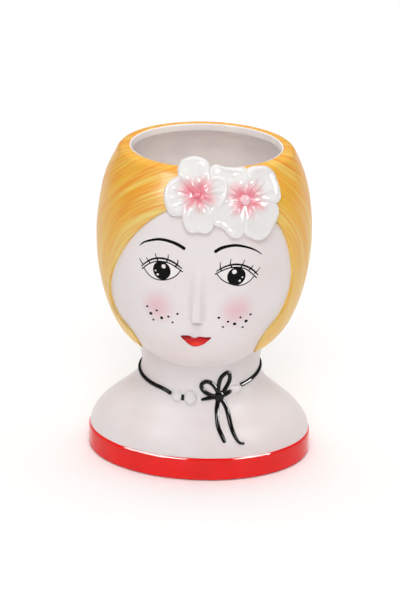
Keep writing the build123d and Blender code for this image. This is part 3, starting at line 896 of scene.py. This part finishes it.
def rolled_lip(angle, height, rim, width):
    """Reach of the lip where it rolls over, and how much of the roll is left above a height."""
    over = np.sqrt(1 - np.clip((height - rim + LIP_ROLL) / LIP_ROLL, 0, 1) ** 2)
    mouth = cast_reach(angle, rim) - width + LIP_LEAN
    roll = mouth + (cast_reach(angle, rim - LIP_ROLL) + LIP_SWELL - mouth) * over
    return -blended(-roll, -cast_reach(angle, height), LIP_BLEND), over


class PLANTER_OT_casting(bpy.types.Operator):
    """Builds the cast head, neck and shoulders with their inner wall, floor and drain hole"""

    bl_idname = "planter.casting"
    bl_label = "Casting"

    def execute(self, context):
        sizes = context.scene.planter_sizes
        rim, wall, floor = sizes.rim_height / MM, sizes.wall / MM, sizes.floor_top / MM
        recess, ring, drain = sizes.foot_recess / MM, sizes.foot_ring / MM, sizes.drain_radius / MM
        turn = np.linspace(-0.5, 0.5, 321)
        # The columns are closest at the front, where the face is
        angle = 2 * np.pi * turn - 0.45 * np.sin(2 * np.pi * turn)
        foot = cast_reach(angle, FOOT_LEVEL)
        corner = foot - wall
        mouth = cast_reach(angle, rim) - sizes.lip_width / MM
        # Rows are pairs of reach and height, up the outside to the lip
        outside = [np.linspace(*run) for run in (*OUTSIDE_RUNS, (172, rim - LIP_ROLL, 24))]
        rows = [(skin_reach(angle, height), height) for height in np.concatenate(outside)]
        # The lip rolls over and leans inwards before the wall falls back under it
        for lean in np.linspace(0, np.pi / 2, 13)[1:]:
            height = rim - LIP_ROLL + LIP_ROLL * np.sin(lean)
            rows.append((rolled_lip(angle, height, rim, sizes.lip_width / MM)[0], height))
        rows += [(mouth + LIP_LEAN - LIP_ROUND * np.sin(lean), rim - LIP_ROUND + LIP_ROUND * np.cos(lean))
                 for lean in np.linspace(0, np.pi / 2, 5)[1:]]
        rows += [(mouth + out, rim - drop) for drop, out in UNDER_LIP]
        # The inside, square to the slope of the wall, down to the rounded corner of the floor
        inside = [np.linspace(rim - 8, 100, 24), np.linspace(97, 60, 14),
                  np.linspace(57, floor + FLOOR_CORNER, 16)]
        for height in np.concatenate(inside):
            slope = (cast_reach(angle, height + 1) - cast_reach(angle, height - 1)) / 2
            rows.append((cast_reach(angle, height, wall * np.sqrt(1 + np.minimum(slope**2, 2))), height))
        rows += [(corner - FLOOR_CORNER * (1 - np.cos(lean)), floor + FLOOR_CORNER * (1 - np.sin(lean)))
                 for lean in np.linspace(0, np.pi / 2, 7)[1:]]
        rows += [((corner - FLOOR_CORNER) * (1 - share) + drain * share, floor)
                 for share in np.linspace(0.08, 0.94, 9)]
        # The drain hole with its softened edges, then the recess and the ring of the foot
        rows += [(drain + 1, floor), (drain, floor - 1), (drain, recess + 1), (drain + 0.6, recess)]
        rows += [((foot - ring) * share + drain * (1 - share), recess) for share in (0.3, 0.65, 1)]
        rows += [(foot - ring + 0.3, 0.4), (foot - ring + 0.9, 0), (foot - 1, 0), rows[0]]
        shell = woven([turned(angle, reach, height) for reach, height in rows])
        piece = finish_mesh("glazed_casting", shell, glaze("skin"), "casting")
        # The inward faces take the hollow's glaze, whose brighter, warmer tint is painted light and shade
        piece.data.materials.append(glaze("inside"))
        for face in piece.data.polygons:
            facing = face.center.x * face.normal.x + face.center.y * face.normal.y
            face.material_index = int(facing < 0 and face.center.z > sizes.foot_recess)
        return {"FINISHED"}


def hair_edges(heights):
    """Angles of the hair's two edges at each height, to the right and to the left of the face."""
    edges = []
    for side, table in ((1, RIGHT_HAIRLINE), (-1, LEFT_HAIRLINE)):
        across, height = smooth_line(table, 400)[::-1].T
        across = np.interp(heights, height, side * np.maximum(side * across, 0), right=0)
        place = on_front(across, heights, reach=cast_reach)
        edges.append(np.arctan2(place[:, 0], -place[:, 1]))
    return edges


def hair_distance(angle, height, edge_line):
    """How far a place on the head is from the edge of the hair, in millimetres."""
    turn = np.abs((angle + np.pi) % (2 * np.pi) - np.pi) * np.sign(np.sin(angle))
    nearest = np.full(turn.shape, np.inf)
    for across, up in edge_line:
        nearest = np.minimum(nearest, np.hypot(turn * HEAD_ROUND - across, height - up))
    return nearest


def strand_place(angle, height):
    """Place across and along the combed strands, which run round the face and straighten towards the back."""
    turn = np.abs((angle + np.pi) % (2 * np.pi) - np.pi)
    straight = 1 - 0.85 * eased(*COMB_TURN, turn)
    up = (height - COMB_CENTRE) * straight
    across = np.hypot(turn * FACE_ROUND, up * 0.95)
    along = np.arctan2(up, turn * FACE_ROUND + 1e-6) * HEAD_ROUND
    # The two sides get strands of their own, well apart in the pattern
    return across * np.sign(np.sin(angle) + 1e-9) + 400, along


class PLANTER_OT_hair(bpy.types.Operator):
    """Builds the combed hair that stands out round the head"""

    bl_idname = "planter.hair"
    bl_label = "Hair"

    def execute(self, context):
        sizes = context.scene.planter_sizes
        swell = (sizes.hair_side / MM, sizes.hair_front / MM, sizes.hair_back / MM)
        hem, rim, comb = sizes.hair_hem / MM, sizes.rim_height / MM, sizes.comb_depth / MM
        edge_line = np.concatenate([smooth_line(table, 90) for table in (LEFT_HAIRLINE, RIGHT_HAIRLINE)])
        edge_line[:, 0] = HEAD_ROUND * np.arctan2(edge_line[:, 0], FACE_ROUND)
        shoulder = rim - LIP_ROLL
        roll = shoulder + LIP_ROLL * np.sin(np.linspace(0, 1, 19)[1:] * 1.5)
        heights = np.concatenate([np.linspace(hem, shoulder, 165), roll])
        right, left = (edge[:, None] for edge in hair_edges(heights))
        spread = np.linspace(0, 1, 421)
        # The columns are closest along both edges
        spread = spread - 0.10 * np.sin(2 * np.pi * spread)
        angle = right + (left + 2 * np.pi - right) * spread
        height = np.repeat(heights[:, None], len(spread), 1)
        base, level = cast_reach(angle, height), head_size(height)
        # Over the shoulder the hair rolls inwards with the lip, and thins to a film of glaze
        rolled, over = rolled_lip(angle, height, rim, sizes.lip_width / MM)
        base = np.where(height > shoulder, rolled, base)
        swollen = oval_reach(angle, *(size + more for size, more in zip(level, swell)))
        full = (swollen - oval_reach(angle, *level)) * over + HAIR_FILM * (1 - over)
        away = np.minimum(hair_distance(angle, height, edge_line), height - hem)
        rise = 1 - np.clip(away / HAIR_ROUND, 0, 1)
        across, along = strand_place(angle, height)
        # Broad and fine grooves, which wander and come and go along the strands
        broad_seed, fine_seed, wander_seed, swell_seed = COMB_SEEDS
        fine = even_noise(across / 1.7 + 0.4 * even_noise(along / 25, wander_seed), fine_seed)
        groove = 0.6 * even_noise(across / 3.4, broad_seed) + 0.4 * fine
        groove *= 0.8 + 0.4 * even_noise(along / 18 + across / 9, swell_seed)
        groove *= eased(1.5, 7, away) * eased(rim, rim - 2 * LIP_ROLL, height)
        relief = -HAIR_SINK + (full + HAIR_SINK) * np.sqrt(1 - rise**2) + comb * groove
        lift = eased(shoulder, rim, height)
        outer = turned(angle, base + relief, height + 0.45 * lift)
        lining = turned(angle, base - HAIR_LINING, height - 0.6 * lift)
        # The lining shares its two upright edges with the outside, so that the weld closes the sheet
        lining[:, (0, -1)] = outer[:, (0, -1)]
        shell = woven(np.concatenate([outer, lining[::-9], outer[:1]]))
        piece = finish_mesh("combed_hair", shell, glaze("hair"), "hair")
        places = place_of(piece)
        angle, height = np.arctan2(places[:, 0], -places[:, 1]), places[:, 2]
        away = hair_distance(angle, height, edge_line)
        mark(piece, STRAND, np.stack([*strand_place(angle, height), away], -1))
        return {"FINISHED"}


class PLANTER_OT_band(bpy.types.Operator):
    """Builds the raised red band round the foot"""

    bl_idname = "planter.band"
    bl_label = "Foot band"

    def execute(self, context):
        sizes = context.scene.planter_sizes
        high, low, relief = sizes.band_height / MM, sizes.band_lift / MM, sizes.band_relief / MM
        angle = np.linspace(-np.pi, np.pi, 361)
        foot = cast_reach(angle, FOOT_LEVEL)
        # Pairs of how far out and how high, from the lower edge up the front and over the top
        steps = [(-BAND_SINK, low + 0.4), (0.1, low + 0.1), (relief - BAND_TOE, low)]
        steps += [(relief - BAND_TOE + BAND_TOE * np.sin(lean), low + BAND_TOE - BAND_TOE * np.cos(lean))
                  for lean in np.linspace(0.3, 1.57, 5)]
        steps += [(relief, height) for height in np.linspace(low + 2, high - 3.5, 12)]
        steps += [(relief - BAND_ROUND + BAND_ROUND * np.cos(lean), high - 3.3 + BAND_ROUND * np.sin(lean))
                  for lean in np.linspace(0.05, 0.9, 19)]
        steps += [(-0.5, high - 0.1), (-BAND_SINK, high - 1.2), (-BAND_SINK, low + 0.4)]
        # The glaze's edge and face wander by a tenth of a millimetre or so
        wander = 0.12 * even_noise(np.abs(angle) * 8, BAND_SEED)
        start, end = BAND_FACE
        rows = []
        for out, height in steps:
            reach = foot + out - (0.12 + wander) * (start < height < end)
            rows.append(turned(angle, reach, height + (wander * 0.8 - 0.12) * (height > end)))
        finish_mesh("red_foot_band", woven(rows), glaze("band"), "foot_band")
        return {"FINISHED"}


def petal_faces(index, lift, thick, axis):
    """Gives the dished and ribbed front of a petal that points along an axis, and its plain back."""

    def rounded(share):
        return thick / 2 * (1 - share**PETAL_SQUARE) ** (1 / PETAL_SQUARE)

    def front(share, across, up):
        away, turn = np.hypot(across, up), np.arctan2(up, across)
        # The rim rolls up round a dished middle, and the throat falls away
        rim = 0.9 * np.exp(-(((share - 0.80) / 0.14) ** 2)) * eased(9, 16, away)
        dish = -1.2 * np.exp(-((share / 0.55) ** 2)) * eased(6, 14, away)
        throat = -3.2 * np.exp(-((away / 8.0) ** 2))
        # Ribs and fine pleats run out from the throat and fade before the rim, which waves a little
        pleat = 0.25 * even_noise(turn * 6 + 40, PLEAT_SEED + index)
        for rib, tall in PETAL_RIBS:
            off = turn - axis - radians(rib + 3 * np.sin(index * 5 + rib))
            off = (off + np.pi) % (2 * np.pi) - np.pi
            pleat = pleat + tall * np.exp(-((off * np.maximum(away, 3)) ** 2))
        pleat *= eased(3, 6, away) * (1 - eased(11, 19, away))
        wave = 0.4 * even_noise(turn * 2.2 + 20, WAVE_SEED + index) * eased(10, 20, away)
        return lift - thick / 2 + rounded(share) + (rim + dish + throat + pleat + wave) * (1 - share**6)

    def back(share, across, up):
        return lift - thick / 2 - rounded(share)

    return front, back


class PLANTER_OT_blossoms(bpy.types.Operator):
    """Builds the petals and centres of the two blossoms"""

    bl_idname = "planter.blossoms"
    bl_label = "Blossoms"

    def execute(self, context):
        sizes = context.scene.planter_sizes
        for index, (name, (middle, lift, outline)) in enumerate(PETALS.items()):
            thick = (sizes.top_petal_thickness if name in TOP_PETALS else sizes.petal_thickness) / MM
            edge = closed_outline(outline)
            # A petal is pressed out from just past its middle
            centre = edge.mean(axis=0) * 1.02
            front, back = petal_faces(index, lift, thick, np.arctan2(centre[1], centre[0]))
            shell = cushion(edge, centre, front, back, partial(on_blossom, middle=middle), 144, 64)
            piece = finish_mesh(name + "_glazed", shell, glaze("petal"), name)
            mark(piece, BLOOM, bloom_place(place_of(piece), middle))
        for name, (middle, radius, kind) in BEADS.items():
            shell = bmesh.new()
            bmesh.ops.create_icosphere(shell, subdivisions=4, radius=radius * MM)
            # Rolled between the fingers, so not quite round
            for vertex in shell.verts:
                vertex.co *= 1 + 0.04 * np.sin(vertex.co.x * 2100) * np.cos(vertex.co.z * 1700)
            seat = Vector(on_blossom(0, 0, -BEAD_SINK, middle) * MM)
            bmesh.ops.translate(shell, verts=shell.verts, vec=seat)
            finish_mesh(name + "_bead", shell, glaze(kind), name)
        return {"FINISHED"}


class PLANTER_OT_ribbon(bpy.types.Operator):
    """Builds the choker, its link and pearls, and the bow"""

    bl_idname = "planter.ribbon"
    bl_label = "Choker and bow"

    def execute(self, context):
        start, end = (np.arctan2(across, CHOKER_FRONT) for across in CHOKER_ENDS)
        start = start + 2 * np.pi
        # Closer rows at both ends, so that they come out round
        angle = np.concatenate([
            np.linspace(end, end + 0.12, 14)[:-1], np.linspace(end + 0.12, start - 0.12, 220),
            np.linspace(start - 0.12, start, 14)[1:],
        ])
        # The height depends on how far back the neck is there, so it is found step by step
        height = np.full(angle.shape, 58.0)
        for _ in range(12):
            place = turned(angle, cast_reach(angle, height), height)
            height = choker_height(place[:, 1])[0] + place[:, 0] * CHOKER_RISE
        line = turned(angle, cast_reach(angle, height), height)
        normals = np.cross(turned(angle + 0.001, cast_reach(angle + 0.001, height), height) - line,
                           turned(angle, cast_reach(angle, height + 0.05), height + 0.05) - line)
        normals /= np.linalg.norm(normals, axis=1, keepdims=True)
        shell = coil(line, normals, np.full(len(line), CHOKER_WIDTH), COIL_RELIEF, COIL_SINK)
        finish_mesh("choker_coil", shell, glaze("black"), "choker_band")
        for name, (points, widths) in BOW.items():
            shell = coil(*line_on(points, widths), COIL_RELIEF, COIL_SINK)
            finish_mesh(name + "_coil", shell, glaze("black"), name)
        centre, reach = KNOT
        shell = cushion(oval(centre, reach, 0.06), centre, dome(1.9, 2.4), dome(-0.6), on_front)
        finish_mesh("bow_knot_coil", shell, glaze("black"), "bow_knot")
        for name, (centre, radius) in PEARLS.items():
            ring = oval(centre, (PEARL_RING * radius, PEARL_RING * radius))
            shell = cushion(ring, centre, partial(pooled, radius), dome(-0.8), on_front, 48, 32)
            finish_mesh(name + "_glazed", shell, glaze("pearl"), name)
        return {"FINISHED"}


class PLANTER_OT_lips(bpy.types.Operator):
    """Builds the raised lips"""

    bl_idname = "planter.lips"
    bl_label = "Lips"

    def execute(self, context):
        def front(share, across, height):
            seam = 0.3 * np.exp(-(((height - 106.6 + 0.03 * across**2) / 0.7) ** 2))
            swell = 0.5 * mound(np.abs(across - LIPS_CENTRE[0]), height, (3.0, 103.4), (1.8, 1.2))
            return dome(1.25, 2.6)(share, across, height) + (swell - seam) * (1 - share**4)

        shell = cushion(closed_outline(LIPS), LIPS_CENTRE, front, dome(-0.5), on_front, 96, 32)
        finish_mesh("painted_lips", shell, glaze("lips"), "lips")
        return {"FINISHED"}


class PLANTER_OT_features(bpy.types.Operator):
    """Paints the eyes, the brows and the freckles"""

    bl_idname = "planter.features"
    bl_label = "Painted features"

    def execute(self, context):
        def spot(name, centre, reach, kind, out):
            shell = cushion(oval(centre, reach), centre, dome(out, 8), dome(-PAINT_SINK, 8), on_front, 32, 12)
            finish_mesh(name, shell, glaze(kind))

        def stroke(name, points, widths, out=0.1):
            shell = coil(*line_on(points, widths, spacing=0.4), out, 0.15, around=8)
            finish_mesh(name, shell, glaze("ink"))

        for side, eye in EYES.items():
            white = closed_outline([*eye["crease"][1:-1], *reversed(eye["lower"])], 96)
            centre = tuple(np.mean(white, axis=0))
            shell = cushion(white, centre, dome(0.04, 8), dome(-PAINT_SINK, 8), on_front, 64, 16)
            finish_mesh(side + "_eye_white", shell, glaze("eye"))
            spot(side + "_iris", eye["iris"], IRIS_REACH, "ink", 0.1)
            for index, (x, z, radius) in enumerate(eye["glints"]):
                spot(f"{side}_eye_glint_{index + 1}", (x, z), (radius, radius), "eye", 0.16)
            stroke(side + "_upper_lid", eye["upper"], (0.7, 1.1, 1.3, 1.3, 1.1, 0.7))
            stroke(side + "_lid_crease", eye["crease"], 0.85)
            stroke(side + "_lower_lid", eye["lower"], 0.8)
            for index, points in enumerate(eye["lashes"]):
                stroke(f"{side}_lash_{index + 1}", points, (0.5, 0.8, 1.05))
        for name, (points, widths) in BROWS.items():
            stroke(name, points, widths, 0.14)
        for index, (x, z, radius) in enumerate(FRECKLES):
            spot(f"freckle_{index + 1:02d}", (x, z), (radius, radius), "ink", 0.08)
        return {"FINISHED"}


def softbox(name, place, aim, size, power, kind, ending):
    """Hangs a soft light that gives only glints or only diffuse light, to all pieces or to some by name."""
    light = bpy.data.lights.new(name, "AREA")
    light.shape, light.size, light.size_y, light.energy = "RECTANGLE", size[0], size[1], power
    lamp = bpy.data.objects.new(name, light)
    lamp.location = place
    lamp.visible_glossy = kind == "glossy"
    lamp.visible_diffuse = kind == "diffuse"
    lamp.rotation_euler = (Vector(aim) - Vector(place)).to_track_quat("-Z", "Y").to_euler()
    bpy.context.scene.collection.objects.link(lamp)
    if ending:
        lit = bpy.data.collections.new(name + "_pieces")
        for piece in bpy.data.objects:
            if piece.name.endswith(ending):
                lit.objects.link(piece)
        lamp.light_linking.receiver_collection = lit


class PLANTER_OT_stage(bpy.types.Operator):
    """Sets the pale floor, the studio light and the camera"""

    bl_idname = "planter.stage"
    bl_label = "Stage"

    def execute(self, context):
        scene = context.scene
        floor = bmesh.new()
        bmesh.ops.create_grid(floor, x_segments=2, y_segments=2, size=4.0)
        mesh = bpy.data.meshes.new("pale_floor")
        floor.to_mesh(mesh)
        floor.free()
        # Matt white paper: pale, with no glint of its own
        paper = bpy.data.materials.new("matt_white_paper")
        paper.use_nodes = True
        sheet = paper.node_tree.nodes["Principled BSDF"].inputs
        sheet["Base Color"].default_value = (*linear(PAPER), 1.0)
        sheet["Roughness"].default_value = 0.9
        mesh.materials.append(paper)
        ground = bpy.data.objects.new("pale_floor", mesh)
        scene.collection.objects.link(ground)

        scene.world = bpy.data.worlds.new("studio")
        scene.world.use_nodes = True
        backdrop = scene.world.node_tree.nodes["Background"].inputs
        backdrop["Color"].default_value = (*linear(BACKDROP), 1.0)
        backdrop["Strength"].default_value = BACKDROP_LIGHT
        for name, settings in LIGHTS.items():
            softbox(name, *settings)

        lens = bpy.data.cameras.new("camera")
        lens.sensor_fit = "AUTO"
        lens.lens = LENS
        lens.shift_x, lens.shift_y = LENS_SHIFT
        camera = bpy.data.objects.new("camera", lens)
        turn, lift = CAMERA_TURN, CAMERA_LIFT
        sight = Vector((np.sin(turn) * np.cos(lift), -np.cos(turn) * np.cos(lift), np.sin(lift)))
        camera.location = Vector(CAMERA_AIM) + sight * CAMERA_AWAY
        facing = sight.to_track_quat("Z", "Y").to_matrix()
        camera.rotation_euler = (facing @ Matrix.Rotation(CAMERA_ROLL, 3, "Z")).to_euler()
        scene.collection.objects.link(camera)
        scene.camera = camera
        scene.view_settings.view_transform = "Standard"
        return {"FINISHED"}


class PLANTER_PT_panel(bpy.types.Panel):
    """Lists the planter's steps"""

    bl_label = "Head planter"
    bl_idname = "PLANTER_PT_panel"
    bl_space_type = "VIEW_3D"
    bl_region_type = "UI"
    bl_category = "Planter"

    def draw(self, context):
        for step in STEPS:
            self.layout.operator(step.bl_idname)
        for group in (context.scene.planter_sizes, context.scene.planter_glazes):
            box = self.layout.box()
            for name in group.bl_rna.properties.keys():
                if name not in ("rna_type", "name"):
                    box.prop(group, name)


STEPS = (
    PLANTER_OT_casting,
    PLANTER_OT_hair,
    PLANTER_OT_band,
    PLANTER_OT_blossoms,
    PLANTER_OT_ribbon,
    PLANTER_OT_lips,
    PLANTER_OT_features,
    PLANTER_OT_stage,
)
CLASSES = (PlanterSizes, PlanterGlazes, *STEPS, PLANTER_PT_panel)


def register():
    for cls in CLASSES:
        bpy.utils.register_class(cls)
    bpy.types.Scene.planter_sizes = PointerProperty(type=PlanterSizes)
    bpy.types.Scene.planter_glazes = PointerProperty(type=PlanterGlazes)


def unregister():
    del bpy.types.Scene.planter_glazes
    del bpy.types.Scene.planter_sizes
    for cls in reversed(CLASSES):
        bpy.utils.unregister_class(cls)


def main():
    register()
    for step in STEPS:
        group, name = step.bl_idname.split(".")
        getattr(getattr(bpy.ops, group), name)()


if __name__ == "__main__":
    main()
